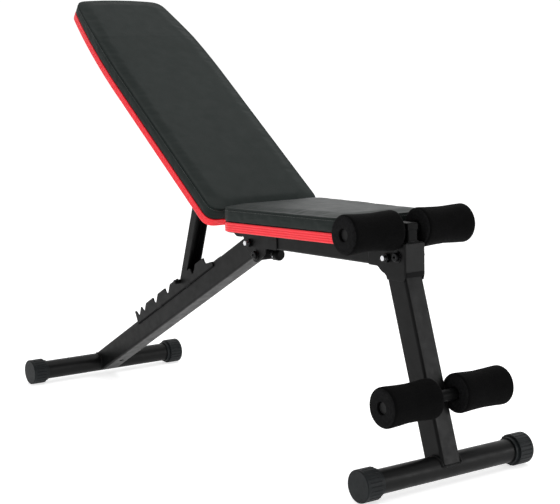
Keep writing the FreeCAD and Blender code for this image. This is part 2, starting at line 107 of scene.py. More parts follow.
# ---------------------------------------------------------------- meshes
def place(name, points, faces, body, slot, matrix=None, smooth=True):
    """A mesh piece from points in millimetres, which rides on a body."""
    mesh = bpy.data.meshes.new(name)
    to_row = Matrix.Scale(MM, 4) @ (matrix or Matrix.Identity(4))
    mesh.from_pydata([to_row @ Vector(p) for p in points], [], faces)
    mesh.validate()
    mesh.update()
    if smooth:
        mesh.polygons.foreach_set("use_smooth", [True] * len(mesh.polygons))
    piece = bpy.data.objects.new(name, mesh)
    bpy.context.scene.collection.objects.link(piece)
    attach(piece, body)
    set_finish(piece, slot)
    return piece


def grid_faces(rows, columns, closed=True, flip=False):
    """Quads between rows of points. closed joins each row's last point to its first."""
    faces = []
    for r in range(rows - 1):
        for c in range(columns if closed else columns - 1):
            d = (c + 1) % columns
            quad = (r * columns + c, r * columns + d, (r + 1) * columns + d, (r + 1) * columns + c)
            faces.append(quad[::-1] if flip else quad)
    return faces


def lid(start, count, flip=False):
    """Closes a ring that is symmetric about the X axis with quads straight across it."""
    faces = []
    for i in range(count // 2):
        ring = (i, i + 1, (count - i - 1) % count, (count - i) % count)
        face = tuple(start + v for v in dict.fromkeys(ring))
        faces.append(face[::-1] if flip else face)
    return faces


def arc_through(a, m, b, pieces):
    """Points of the circular arc from a through m to b, both ends included."""
    (ax, ay), (mx, my), (bx, by) = a, m, b
    d = 2 * (ax * (my - by) + mx * (by - ay) + bx * (ay - my))
    aa, mm, bb = ax ** 2 + ay ** 2, mx ** 2 + my ** 2, bx ** 2 + by ** 2
    ux = (aa * (my - by) + mm * (by - ay) + bb * (ay - my)) / d
    uy = (aa * (bx - mx) + mm * (ax - bx) + bb * (mx - ax)) / d
    r = math.hypot(ax - ux, ay - uy)
    t0 = math.atan2(ay - uy, ax - ux)
    sweep = (math.atan2(by - uy, bx - ux) - t0 + math.pi) % (2 * math.pi) - math.pi
    return [(ux + r * math.cos(t0 + sweep * i / pieces), uy + r * math.sin(t0 + sweep * i / pieces))
            for i in range(pieces + 1)]


def rounded(corners):
    """Closed outline through (x, y, radius) corners, counterclockwise, each corner an arc."""
    points = []
    for i, (x, y, r) in enumerate(corners):
        here = Vector((x, y))
        if r == 0:
            points.append(here)
            continue
        before = (Vector(corners[i - 1][:2]) - here).normalized()
        after = (Vector(corners[(i + 1) % len(corners)][:2]) - here).normalized()
        half = before.angle(after) / 2
        centre = here + (before + after).normalized() * (r / math.sin(half))
        start = here + before * (r / math.tan(half)) - centre
        turn = math.pi - 2 * half
        for k in range(13):
            t = turn * k / 12
            points.append(centre + Matrix.Rotation(t, 2) @ start)
    return points


def spaced(points, count):
    """The same closed outline with evenly spaced points."""
    ring = points + points[:1]
    reach = [0.0]
    for a, b in zip(ring, ring[1:]):
        reach.append(reach[-1] + (b - a).length)
    out, k = [], 0
    for i in range(count):
        goal = reach[-1] * i / count
        while reach[k + 1] <= goal:
            k += 1
        out.append(ring[k].lerp(ring[k + 1], (goal - reach[k]) / (reach[k + 1] - reach[k])))
    return out


class Outline:
    """A pad's outline: evenly spaced points, outward normals, length and corner weights."""

    def __init__(self, corners, count, spine):
        points = spaced(rounded(corners), count)
        for _ in range(2):
            points = [(points[i - 1] + points[i] * 2 + points[(i + 1) % count]) / 4 for i in range(count)]
        self.points = points
        self.count = count
        self.spine = spine
        self.normals = []
        for i in range(count):
            along = points[(i + 2) % count] - points[i - 2]
            self.normals.append(Vector((along.y, -along.x)).normalized())
        self.step = (points[1] - points[0]).length
        self.length = self.step * count
        self.turning = [self.normals[i - 3].angle(self.normals[(i + 3) % count]) for i in range(count)]
        self.tree = KDTree(count)
        for i, p in enumerate(points):
            self.tree.insert((p.x, p.y, 0), i)
        self.tree.balance()

    def at(self, i, inset):
        return self.points[i % self.count] - self.normals[i % self.count] * inset

    def ring(self, inset, z):
        return [(*self.at(i, inset), z) for i in range(self.count)]

    def towards_spine(self, inset, share, z):
        out = []
        for i in range(self.count):
            edge = self.at(i, inset)
            middle = Vector((min(max(edge.x, self.spine[0]), self.spine[1]), 0))
            out.append((*edge.lerp(middle, share), z))
        return out

    def nearest(self, x, y):
        """Index, distance along the outline and inset of the outline point nearest to (x, y)."""
        _, i, far = self.tree.find((x, y, 0))
        return i, i * self.step, far


def back_corners():
    side = arc_through((BACK_BEND, -BACK_HALF), (590.0, -BACK_HALF + 5.0), (BACK_TIP[0], -BACK_TIP[1]), 8)
    crown = arc_through((BACK_TIP[0], -BACK_TIP[1]), (BACK_LENGTH, 0.0), BACK_TIP, 6)
    half = [(0.0, 0.0, 0), (0.0, -BACK_HALF, 22)] + [(x, y, 0) for x, y in side[:-1]]
    half += [(BACK_TIP[0], -BACK_TIP[1], 28)] + [(x, y, 0) for x, y in crown[1:3]]
    mirrored = [(x, -y, r) for x, y, r in half[:0:-1]]
    return half + [(BACK_LENGTH, 0.0, 0)] + mirrored


def seat_corners():
    (x0, x1), (w0, w1) = SEAT_X, SEAT_HALF
    return [(x0, 0, 0), (x0, -w0, 34), (x1, -w1, 34), (x1, w1, 34), (x0, w0, 34)]


BACK_PLACE = (Matrix.Translation((BACK_FOOT[0], 0, BACK_FOOT[1]))
              @ Matrix.Rotation(math.radians(BACK_TILT), 4, "Y") @ Matrix.Rotation(math.pi, 4, "Z"))
SEAT_PLACE = Matrix.Translation((0, 0, SEAT_BASE))

# trim, seam and top are heights over the board's underside. thinned is where the pad starts to
# thin, where it ends, and by how much.
PADS = {
    "back": {"outline": Outline(back_corners(), 420, (140.0, 622.0)), "matrix": BACK_PLACE,
             "body": "backrest", "trim": 16.5, "seam": 45.6, "top": 50.0, "seed": 3,
             "thinned": (600.0, BACK_LENGTH, 9.0)},
    "seat": {"outline": Outline(seat_corners(), 280, (246.0, 386.0)), "matrix": SEAT_PLACE,
             "body": "frame", "trim": 19.0, "seam": 47.6, "top": 53.5, "seed": 8,
             "thinned": (0.0, 1.0, 0.0)},
}


# ---------------------------------------------------------------- cushions
def smoothstep(low, high, value):
    t = min(max((value - low) / (high - low), 0.0), 1.0)
    return t * t * (3 - 2 * t)


def cushion_rings(pad):
    """Rings of a boxed cushion: tucked into the edge band, a side panel, a welt seam and a crowned top."""
    outline, trim, seam, top = pad["outline"], pad["trim"], pad["seam"], pad["top"]
    side = [(5.5, BOARD_TOP + 0.4), (5.6, trim + 0.4), (4.6, trim + 1.6), (2.4, trim + 2.1),
            (1.1, trim + 3.6)]
    low, high = trim + 6.0, seam - 5.0
    side += [(0.8, low + (high - low) * i / 5) for i in range(6)]
    side += [(1.0, seam - 2.6), (1.5, seam - 1.5), (2.1, seam - 0.9), (1.6, seam - 0.3),
             (0.9, seam + 0.4), (1.2, seam + 1.3), (2.2, seam + 1.6), (3.0, seam + 1.5), (4.2, seam + 1.9)]
    rings = [outline.ring(inset, z) for inset, z in side]
    edge = side[-1][1]
    for k in range(1, 19):
        share = 0.95 * (k / 18) ** 1.35
        rings.append(outline.towards_spine(4.2, share, edge + (top - 1.0 - edge) * (1 - (1 - share) ** 5)))
    return rings


def full_height(pad, x):
    """Share of the full height above the edge band at x: less towards a thinned end."""
    start, end, drop = pad["thinned"]
    share = min(max((x - start) / (end - start), 0.0), 1.0)
    return 1 - share * drop / (pad["top"] - pad["trim"])


def thinned(pad, points):
    """The points lowered towards the pad's thin end."""
    out = []
    for p in points:
        above = max(0.0, p.z - pad["trim"])
        out.append(Vector((p.x, p.y, min(p.z, pad["trim"]) + above * full_height(pad, p.x))))
    return out


def pin_weight(pad, x, y, z):
    """How firmly the cover is held: fully at the base, mostly at the seam."""
    if z < pad["trim"] + 2.5:
        return 1.0
    _, _, inset = pad["outline"].nearest(x, y)
    from_seam = math.hypot(z - pad["seam"] - 0.5, inset - 1.5)
    return 0.9 * (1 - smoothstep(2.5, 6.5, from_seam))


def swell(pad, points, faces, cap):
    """Inflates a remeshed copy of the cover as cloth, and returns how far each point moves."""
    mesh = bpy.data.meshes.new("swell")
    mesh.from_pydata([Vector(p) * MM for p in points], [], faces)
    probe = bpy.data.objects.new("swell", mesh)
    bpy.context.scene.collection.objects.link(probe)
    remesh = probe.modifiers.new("voxels", "REMESH")
    remesh.mode = "VOXEL"
    remesh.voxel_size = CLOTH_VOXEL
    dense = bpy.data.meshes.new_from_object(probe.evaluated_get(bpy.context.evaluated_depsgraph_get()))
    probe.modifiers.clear()
    probe.data = dense
    rest = [v.co.copy() for v in dense.vertices]
    held = probe.vertex_groups.new(name="held")
    for i, p in enumerate(rest):
        held.add([i], pin_weight(pad, *(p / MM)), "REPLACE")
    cloth = probe.modifiers.new("cloth", "CLOTH")
    cloth.settings.vertex_group_mass = "held"
    cloth.settings.use_pressure = True
    cloth.settings.uniform_pressure_force = CLOTH_PRESSURE
    cloth.settings.tension_stiffness = 18.0
    cloth.settings.compression_stiffness = 12.0
    cloth.settings.bending_stiffness = 0.4
    cloth.settings.shrink_min = -0.004
    cloth.settings.effector_weights.gravity = 0.0
    cloth.collision_settings.use_collision = False
    cloth.point_cache.frame_start = 1
    cloth.point_cache.frame_end = CLOTH_FRAMES
    scene = bpy.context.scene
    for number in range(1, CLOTH_FRAMES + 1):
        scene.frame_set(number)
    shown = probe.evaluated_get(bpy.context.evaluated_depsgraph_get())
    moved = [v.co / MM - rest[i] / MM for i, v in enumerate(shown.data.vertices)]
    scene.frame_set(1)
    bpy.data.objects.remove(probe)
    tree = KDTree(len(rest))
    for i, p in enumerate(rest):
        tree.insert(p / MM, i)
    tree.balance()
    shifts = []
    for p in points:
        total, weights = Vector(), 0.0
        for _, i, far in tree.find_n(p, 6):
            weight = 1 / (far * far + 4.0)
            total += moved[i] * weight
            weights += weight
        shift = total / weights
        if shift.length > cap:
            shift *= cap / shift.length
        shifts.append(shift)
    return shifts


def subdivided(points, faces):
    """One Catmull-Clark subdivision of a mesh given as points and faces."""
    mesh = bpy.data.meshes.new("coarse")
    mesh.from_pydata(points, [], faces)
    probe = bpy.data.objects.new("coarse", mesh)
    bpy.context.scene.collection.objects.link(probe)
    probe.modifiers.new("subdivision", "SUBSURF").levels = 1
    fine = bpy.data.meshes.new_from_object(probe.evaluated_get(bpy.context.evaluated_depsgraph_get()))
    bpy.data.objects.remove(probe)
    return [v.co.copy() for v in fine.vertices], [tuple(p.vertices) for p in fine.polygons]


def creased(pad, points, normals):
    """Long soft folds on the side panel, and puckers where the cover is gathered round the corners."""
    outline, trim, seam = pad["outline"], pad["trim"], pad["seam"]
    loop = outline.length / (2 * math.pi)
    out = []
    for p, n in zip(points, normals):
        i, along, inset = outline.nearest(p.x, p.y)
        turn = min(1.0, outline.turning[i] * 1.6)
        angle = along / loop
        around = Vector((math.cos(angle), math.sin(angle))) * loop
        wave = noise.noise(Vector((around.x / 3.4, around.y / 3.4, pad["seed"])))
        if p.z > seam + 1.7 and inset > 3.0:
            near = math.exp(-(inset - 3.0) / 7.0)
            shift = 0.55 * near * (0.15 + turn) * wave
            shift += 0.35 * noise.noise(Vector((p.x / 70, p.y / 55, 5.0 + pad["seed"])))
            shift += 0.12 * noise.noise(Vector((p.x / 18, p.y / 18, 9.0 + pad["seed"])))
        elif p.z > trim + 2.5 and p.z < seam - 2.0:
            rise = smoothstep(trim + 2.5, seam - 2.0, p.z)
            fold = noise.noise(Vector((around.x / 34, around.y / 34, p.z / 3.6 + pad["seed"])))
            shift = 0.5 * fold * math.sin(math.pi * rise)
            shift += 0.5 * wave * (0.1 + turn) * (rise + 0.2) * (1.1 - rise)
        else:
            shift = 0.06 * wave
        out.append(p + n * shift)
    return out


def point_normals(points, faces):
    mesh = bpy.data.meshes.new("normals")
    mesh.from_pydata(points, [], faces)
    normals = [v.normal.copy() for v in mesh.vertices]
    bpy.data.meshes.remove(mesh)
    return normals


def make_cushion(name):
    """A padded cushion: a cover swollen as cloth, then subdivided, creased and thinned."""
    pad = PADS[name]
    outline = pad["outline"]
    rings = cushion_rings(pad)
    points = [Vector(p) for ring in rings for p in ring]
    faces = grid_faces(len(rings), outline.count) + lid(0, outline.count, flip=True)
    faces += lid((len(rings) - 1) * outline.count, outline.count)
    shifts = swell(pad, points, faces, SWELL_CAP)
    points = [p + s for p, s in zip(points, shifts)]
    points, faces = subdivided(points, faces)
    points = creased(pad, points, point_normals(points, faces))
    limit = pad["top"] + TOP_SLACK
    points = thinned(pad, [Vector((p.x, p.y, min(p.z, limit))) for p in points])
    cushion = place(name + "_cushion", points, faces, pad["body"], "upholstery", pad["matrix"])
    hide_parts(name + "_pad")
    pad["surface"] = BVHTree.FromPolygons(points, faces)
    return cushion


# ---------------------------------------------------------------- stitching, bands and undersides
def capsule(points, faces, start, end, r, sides=6):
    """Adds one short thread with rounded ends to a growing mesh."""
    along = (end - start).normalized()
    across = along.orthogonal().normalized()
    other = along.cross(across)
    length = (end - start).length
    first = len(points)
    stations = ((0.0, 0.25), (0.12, 0.8), (0.35, 1.0), (0.65, 1.0), (0.88, 0.8), (1.0, 0.25))
    for share, wide in stations:
        centre = start + along * (length * share)
        for k in range(sides):
            t = 2 * math.pi * k / sides
            points.append(centre + (across * math.cos(t) + other * math.sin(t)) * (r * wide))
    faces += [tuple(first + v for v in f) for f in grid_faces(len(stations), sides)]
    faces.append(tuple(first + k for k in reversed(range(sides))))
    faces.append(tuple(first + (len(stations) - 1) * sides + k for k in range(sides)))


def make_stitching(name, drop=4.2, pitch=4.6, thread=3.5, r=0.42):
    """A row of stitches on the side panel, just under the seam."""
    pad = PADS[name]
    outline = pad["outline"]
    points, faces = [], []
    count = int(outline.length / pitch)
    height = pad["seam"] - drop
    for k in range(count):
        ends = []
        for along in (k * pitch, k * pitch + thread):
            i = int(along / outline.step)
            share = along / outline.step - i
            spot = outline.at(i, 0).lerp(outline.at(i + 1, 0), share)
            normal = outline.normals[i % outline.count]
            lifted = pad["trim"] + (height - pad["trim"]) * full_height(pad, spot.x)
            origin = Vector((spot.x + normal.x * 12, spot.y + normal.y * 12, lifted))
            hit, *_ = pad["surface"].ray_cast(origin, Vector((-normal.x, -normal.y, 0)))
            ends.append((hit or Vector((spot.x, spot.y, lifted))) + Vector((normal.x, normal.y, 0)) * 0.05)
        capsule(points, faces, ends[0], ends[1], r)
    return place(name + "_stitching", points, faces, pad["body"], "upholstery", pad["matrix"])


def band_profile(trim, ribs=4):
    """Closed section of the edge band, (inset, z): a flat back and ribs along its face."""
    low, high = 0.9, trim + 0.9
    section = [(4.0, low), (2.0, low - 0.1), (0.9, low)]
    pitch = (high - low - 0.8) / ribs
    rib = ((0.05, 0.70), (0.15, 0.28), (0.32, 0.07), (0.5, 0.0), (0.68, 0.07), (0.85, 0.28), (0.95, 0.70))
    for k in range(ribs):
        base = low + 0.4 + pitch * k
        for share, out in rib:
            section.append((out, base + pitch * share))
    return section + [(0.9, high), (2.0, high + 0.1), (4.0, high)]


def make_band(name):
    """The ribbed band round a board's edge, its two ends meeting at the back."""
    pad = PADS[name]
    outline = pad["outline"]
    section = band_profile(pad["trim"])
    rows = []
    for i in range(outline.count + 1):
        spots = [outline.at(i, inset) for inset, _ in section]
        if i in (0, outline.count):
            gap = 0.35 if i == 0 else -0.35
            spots = [s + Vector((0, -gap)) for s in spots]
        rows.append([(*s, z) for s, (_, z) in zip(spots, section)])
    points = [p for row in rows for p in row]
    faces = grid_faces(len(rows), len(section), flip=True)
    faces.append(tuple(range(len(section))))
    last = outline.count * len(section)
    faces.append(tuple(last + k for k in reversed(range(len(section)))))
    band = place(name + "_ribbed_band", points, faces, pad["body"], "edge_band", pad["matrix"])
    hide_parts(name + "_edge_band")
    return band


def thin_ring(outline, insets, z0, z1, ripple, seed):
    """A flat strip between two insets, with a hand cut inner edge."""
    outer, inner = insets
    rows = []
    for share in (0.0, 0.3, 0.7, 1.0):
        row = []
        for i in range(outline.count):
            wobble = noise.noise(Vector((i * outline.step / 22, seed, 0))) * ripple * share
            gather = noise.noise(Vector((i * outline.step / 3.0, seed, 4)))
            gather = gather * min(1.0, outline.turning[i] * 2) * 0.5
            spot = outline.at(i, outer + (inner - outer) * share + wobble)
            row.append((*spot, z0 - 0.3 * share * gather * gather))
        rows.append(row)
    top = [[(x, y, z1) for x, y, _ in row] for row in reversed(rows)]
    loops = rows + top
    points = [p for row in loops for p in row]
    faces = grid_faces(len(loops), outline.count)
    closing = [(len(loops) - 1) * outline.count + i for i in range(outline.count)]
    for i in range(outline.count):
        j = (i + 1) % outline.count
        faces.append((closing[i], closing[j], j, i))
    return points, [f[::-1] for f in faces]


def make_underside(name):
    """Cover fabric folded under the board, a stretched dust cover over it, and its staples."""
    pad = PADS[name]
    outline = pad["outline"]
    points, faces = thin_ring(outline, (4.3, 30.0), -0.9, 0.0, 2.5, pad["seed"])
    place(name + "_folded_edge", points, faces, pad["body"], "upholstery", pad["matrix"])
    rings = []
    for inset, z in ((15.0, -0.8), (14.6, -1.2), (15.0, -1.7), (19.0, -1.9), (24.0, -1.7)):
        rings.append(outline.ring(inset, z))
    for k in range(1, 9):
        share = 0.94 * k / 8
        rings.append(outline.towards_spine(24.0, share, -1.7 + 0.9 * min(1.0, share * 4)))
    points = [p for ring in rings for p in ring]
    faces = grid_faces(len(rings), outline.count, flip=True)
    faces += lid((len(rings) - 1) * outline.count, outline.count, flip=True)
    cover = place(name + "_dust_cover", points, faces, pad["body"], "upholstery", pad["matrix"])
    points, faces = [], []
    draw = random.Random(pad["seed"])
    count = int(outline.length / 44)
    for k in range(count):
        i = int(outline.count * (k + 0.5 + draw.uniform(-0.12, 0.12)) / count)
        middle = outline.at(i, 19.5 + draw.uniform(-1.2, 1.2))
        normal = outline.normals[i % outline.count]
        along = Matrix.Rotation(math.pi / 2 + draw.uniform(-0.2, 0.2), 2) @ normal
        ends = [Vector((*(middle + along * s), -2.25)) for s in (-5.0, 5.0)]
        capsule(points, faces, ends[0], ends[1], 0.55)
    place(name + "_staples", points, faces, pad["body"], "zinc_steel", pad["matrix"])
    return cover


# ---------------------------------------------------------------- foam rollers
def foam_profile(length, r, bore):
    """(distance from the outer end, radius): a sleeve drawn in at the middle, with soft round ends."""
    lip = FOAM_LIP
    section = [(5.0, bore), (1.6, bore + 0.2), (0.5, bore + 1.4), (0.15, bore + 3.5)]
    section += [(0.1, bore + (r - lip - bore) * s) for s in (0.4, 0.6, 0.8)]
    for k in range(9):
        t = math.pi / 2 * k / 8
        section.append((lip - lip * math.cos(t) + 0.1, r - lip + lip * math.sin(t)))
    middle = 30
    for k in range(1, middle):
        s = k / middle
        waist = FOAM_WAIST * math.sin(math.pi * s) ** 1.6
        section.append((lip + (length - 2 * lip) * s, r - waist))
    mirrored = [(length - a, q) for a, q in reversed(section[:16])]
    return section + mirrored


def make_foam(name, seed):
    """A foam sleeve on its rod, with the pores and dents of real foam in its skin."""
    low, high = (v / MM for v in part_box(name))
    centre_x, centre_z = (low.x + high.x) / 2, (low.z + high.z) / 2
    r = (high.z - low.z) / 2
    out = 1 if high.y > 0 and low.y > 0 else -1
    outer = high.y if out > 0 else low.y
    section = foam_profile(high.y - low.y, r, FOAM_BORE)
    around = 120
    points = []
    for depth, radius in section:
        for c in range(around):
            t = 2 * math.pi * c / around
            spot = Vector((math.cos(t) * radius, outer - out * depth, math.sin(t) * radius))
            soft = noise.noise(spot / 26 + Vector((seed, 0, 0))) * 0.55
            pores = noise.noise(spot / 2.1 + Vector((0, seed, 0))) * 0.16
            skin = smoothstep(12.0, 18.0, radius)
            grown = radius + min((soft + pores) * skin, 0.3)
            points.append((centre_x + math.cos(t) * grown, spot.y, centre_z + math.sin(t) * grown))
    faces = grid_faces(len(section), around, flip=out < 0)
    last = (len(section) - 1) * around
    for c in range(around):
        d = (c + 1) % around
        quad = (last + c, last + d, d, c)
        faces.append(quad if out > 0 else quad[::-1])
    foam = place(name + "_sleeve", points, faces, BODY_OF[name], "roller_foam")
    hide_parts(name)
    return foam


# ---------------------------------------------------------------- welds
def weld(name, path, r, body, closed=False, seed=0):
    """A bead of overlapping ripples along a path."""
    spots = [Vector(p) for p in path]
    if closed:
        spots.append(spots[0])
    reach = [0.0]
    for a, b in zip(spots, spots[1:]):
        reach.append(reach[-1] + (b - a).length)
    rings = max(6, int(reach[-1] / 0.55))
    points, k, sides = [], 0, 8
    for i in range(rings + 1):
        goal = min(reach[-1] * i / rings, reach[-1] - 1e-6)
        while reach[k + 1] <= goal:
            k += 1
        along = (spots[k + 1] - spots[k]).normalized()
        centre = spots[k].lerp(spots[k + 1], (goal - reach[k]) / (reach[k + 1] - reach[k]))
        across = along.cross(Vector((0.31, 0.47, 0.83))).normalized()
        other = along.cross(across)
        dip = ((goal / (r * 0.9)) % 1.0) ** 2
        ripple = 1 - 0.16 * dip + 0.12 * noise.noise(Vector((goal / 5, seed, 0)))
        taper = 1.0 if closed else math.sqrt(max(0.05, min(1.0, goal / r, (reach[-1] - goal) / r)))
        for s in range(sides):
            t = 2 * math.pi * s / sides
            points.append(centre + (across * math.cos(t) + other * math.sin(t)) * (r * ripple * taper))
    faces = grid_faces(rings + 1, sides)
    faces.append(tuple(reversed(range(sides))))
    faces.append(tuple(rings * sides + s for s in range(sides)))
    return place(name, points, faces, body, "frame_paint")


def circle_arc(x, z, r, y, start, end, pieces=24):
    """Points of an arc in the XZ plane at y, from one angle to another in degrees."""
    turns = [math.radians(start + (end - start) * i / pieces) for i in range(pieces + 1)]
    return [(x + r * math.cos(t), y, z + r * math.sin(t)) for t in turns]


def on_beam(along, y, normal):
    """A point from its distances along the rear support, sideways and off its axis."""
    t = math.radians(BEAM_RISE)
    return (BEAM_FOOT[0] + along * math.cos(t) - normal * math.sin(t), y,
            BEAM_FOOT[1] + along * math.sin(t) + normal * math.cos(t))


def make_welds():
    """Beads where the floor tubes, rack, brackets, strut pin and roller post are welded."""
    half = TUBE_HALF
    loop = [(662.4, y, 37.0) for y in (-19.0, 0.0, 19.0)]
    loop += circle_arc(FLOOR_TUBE_X, FLOOR_TUBE_Z, FLOOR_TUBE_R, half + 0.6, 19, 172)
    loop += [(616.0, y, 29.8) for y in (19.0, 0.0, -19.0)]
    loop += circle_arc(FLOOR_TUBE_X, FLOOR_TUBE_Z, FLOOR_TUBE_R, -half - 0.6, 172, 19)
    weld("leg_foot_weld", loop, 2.8, "frame", closed=True, seed=1)
    for side, y in (("left", half + 0.4), ("right", -half - 0.4)):
        arc = circle_arc(-FLOOR_TUBE_X, FLOOR_TUBE_Z, FLOOR_TUBE_R, y, 111, -48)
        weld("support_foot_weld_" + side, arc, 2.5, "frame", seed=2)
        line = math.copysign(half + 1.0, y)
        for number, (start, end) in enumerate(RACK_WELDS):
            path = [on_beam(start, line, 16.4), on_beam(end, line, 16.4)]
            weld(f"rack_weld_{side}_{number}", path, 3.1, "frame", seed=3 + number)
        out = math.copysign(CHEEK_OUT - 1.4, y)
        weld("hinge_plate_weld_" + side, [(162.4, out, 390.5), (162.4, out, 431.0)], 1.3, "frame", seed=7)
        weld("bracket_weld_" + side, [(461.6, out, 390.5), (461.6, out, 431.0)], 1.3, "frame", seed=8)
        edge = math.copysign(20.2, y)
        weld("base_plate_weld_" + side, [(505.0, edge, 435.0), (560.0, edge, 435.0)], 1.3, "frame", seed=9)
        ring = circle_arc(PIN[0], PIN[1], 5.6, math.copysign(17.9, y), 0, 360, 20)
        weld("strut_pin_weld_" + side, ring, 1.2, "strut", seed=10)
    post = [(511, -12), (561, -12), (561, 12), (511, 12)]
    weld("post_weld", [(x, y, 437.0) for x, y in post], 1.8, "frame", closed=True, seed=11)


def make_bracket_lip_shade():
    """A near-black strip over the front bracket's lower lip: painted shade where the lip lies in shadow.
    """
    section = [(566.5, 381.4), (567.4, 381.2), (564.3, 371.3), (563.4, 371.6)]
    points = [(x, y, z) for y in (-21.6, 21.6) for x, z in section]
    faces = grid_faces(2, 4) + [(3, 2, 1, 0), (4, 5, 6, 7)]
    # Painted shade: a near-black sheet where the lip falls in shadow.
    return place("bracket_lip_shade", points, faces, "frame", "knob_plastic", smooth=False)


def make_rack_shadow_strips():
    """Near-black strips of painted shadow under the rack plates' lower edges, between their welds."""
    for side, sign in (("left", 1), ("right", -1)):
        for number, (start, end) in enumerate(RACK_SHADOW_SPANS):
            points = [on_beam(along, sign * y, normal) for along in (start, end)
                      for y, normal in ((21.8, 16.9), (24.8, 16.9), (24.2, 14.4), (21.8, 13.4))]
            faces = grid_faces(2, 4) + [(3, 2, 1, 0), (4, 5, 6, 7)]
            # Painted shadow: each strip is a near-black sheet standing for the shade in the gap under a
            # rack plate.
            place(f"rack_shadow_strip_{side}_{number}", points, faces, "frame", "knob_plastic", smooth=False)


# ---------------------------------------------------------------- materials
class Nodes:
    """Short helpers to build a node material."""

    def __init__(self, name):
        self.material = bpy.data.materials.new(name)
        self.material.use_nodes = True
        self.tree = self.material.node_tree
        self.shader = self.tree.nodes["Principled BSDF"]
        self.spot = self.add("ShaderNodeTexCoord").outputs["Object"]

    def add(self, kind, **values):
        node = self.tree.nodes.new(kind)
        for key, value in values.items():
            setattr(node, key, value)
        return node

    def link(self, source, target):
        self.tree.links.new(source, target)

    def set(self, **values):
        for key, value in values.items():
            self.shader.inputs[key.replace("_", " ")].default_value = value

    def noise(self, scale, detail=2.0, rough=0.5, stretch=None):
        node = self.add("ShaderNodeTexNoise")
        node.inputs["Scale"].default_value = scale
        node.inputs["Detail"].default_value = detail
        node.inputs["Roughness"].default_value = rough
        self.link(self.stretched(stretch), node.inputs["Vector"])
        return node.outputs["Fac"]

    def stretched(self, stretch):
        if stretch is None:
            return self.spot
        mapping = self.add("ShaderNodeMapping")
        mapping.inputs["Scale"].default_value = stretch
        self.link(self.spot, mapping.inputs["Vector"])
        return mapping.outputs["Vector"]

    def cells(self, scale, feature="F1", stretch=None):
        node = self.add("ShaderNodeTexVoronoi", feature=feature)
        node.inputs["Scale"].default_value = scale
        self.link(self.stretched(stretch), node.inputs["Vector"])
        return node.outputs["Distance"]

    def ramp(self, source, low, high, a, b):
        """Maps a value range to a smooth blend of two greys or two colours."""
        node = self.add("ShaderNodeValToRGB")
        node.color_ramp.elements[0].position = low
        node.color_ramp.elements[1].position = high
        for element, value in zip(node.color_ramp.elements, (a, b)):
            element.color = (value, value, value, 1) if isinstance(value, float) else (*value, 1)
        self.link(source, node.inputs["Fac"])
        return node.outputs["Color"]

    def mix(self, share, a, b):
        node = self.add("ShaderNodeMix", data_type="RGBA")
        self.link(share, node.inputs[0])
        for value, target in ((a, node.inputs[6]), (b, node.inputs[7])):
            if isinstance(value, tuple):
                target.default_value = (*value, 1)
            else:
                self.link(value, target)
        return node.outputs[2]

    def maths(self, operation, a, b):
        node = self.add("ShaderNodeMath", operation=operation)
        for value, target in ((a, node.inputs[0]), (b, node.inputs[1])):
            if isinstance(value, (int, float)):
                target.default_value = value
            else:
                self.link(value, target)
        return node.outputs[0]

    def bump(self, height, strength, distance, normal=None):
        node = self.add("ShaderNodeBump")
        node.inputs["Strength"].default_value = strength
        node.inputs["Distance"].default_value = distance
        self.link(height, node.inputs["Height"])
        if normal is not None:
            self.link(normal, node.inputs["Normal"])
        return node.outputs["Normal"]

    def soft_edges(self, radius):
        """A normal that rounds sharp edges, and a mask that is 1 on them."""
        bevel = self.add("ShaderNodeBevel", samples=4)
        bevel.inputs["Radius"].default_value = radius
        flat = self.add("ShaderNodeNewGeometry").outputs["Normal"]
        dot = self.add("ShaderNodeVectorMath", operation="DOT_PRODUCT")
        self.link(bevel.outputs["Normal"], dot.inputs[0])
        self.link(flat, dot.inputs[1])
        return bevel.outputs["Normal"], self.ramp(dot.outputs["Value"], 0.80, 0.985, 1.0, 0.0)


def powder_coat(name="powder_coat", shine=0.13):
    """Satin black powder coat with a fine orange peel, its edges painted a little paler as a highlight."""
    n = Nodes(name)
    normal, edges = n.soft_edges(0.0011)
    # Painted highlight: the edges, broken up by noise, are mixed towards a paler grey.
    painted_edge_highlight = n.maths("MULTIPLY", edges, n.ramp(n.noise(90, 4.0, 0.65), 0.42, 0.68, 0.1, 1.0))
    tone = n.ramp(n.noise(16, 5.0, 0.6), 0.35, 0.65, (0.0030, 0.0031, 0.0032), (0.0044, 0.0045, 0.0046))
    n.link(n.mix(painted_edge_highlight, tone, (0.019, 0.0192, 0.0198)), n.shader.inputs["Base Color"])
    n.link(n.ramp(n.noise(55, 4.0, 0.6), 0.3, 0.7, 0.36, 0.50), n.shader.inputs["Roughness"])
    fine = n.bump(n.noise(1500, 2.0, 0.5), 0.22, 0.00006, normal)
    n.link(n.bump(n.noise(330, 2.0, 0.5), 0.25, 0.00009, fine), n.shader.inputs["Normal"])
    n.set(Specular_IOR_Level=shine)
    return n.material


def black_oxide():
    n = Nodes("black_oxide")
    normal, edges = n.soft_edges(0.0005)
    tone = n.ramp(n.noise(260, 4.0, 0.6), 0.35, 0.7, (0.006, 0.006, 0.0065), (0.014, 0.014, 0.015))
    # Painted highlight: the edges are mixed towards a paler grey.
    n.link(n.mix(edges, tone, (0.09, 0.09, 0.093)), n.shader.inputs["Base Color"])
    n.link(n.ramp(n.noise(420, 3.0), 0.3, 0.7, 0.30, 0.46), n.shader.inputs["Roughness"])
    n.link(n.bump(n.noise(1300), 0.2, 0.00005, normal), n.shader.inputs["Normal"])
    n.set(Metallic=0.85)
    return n.material


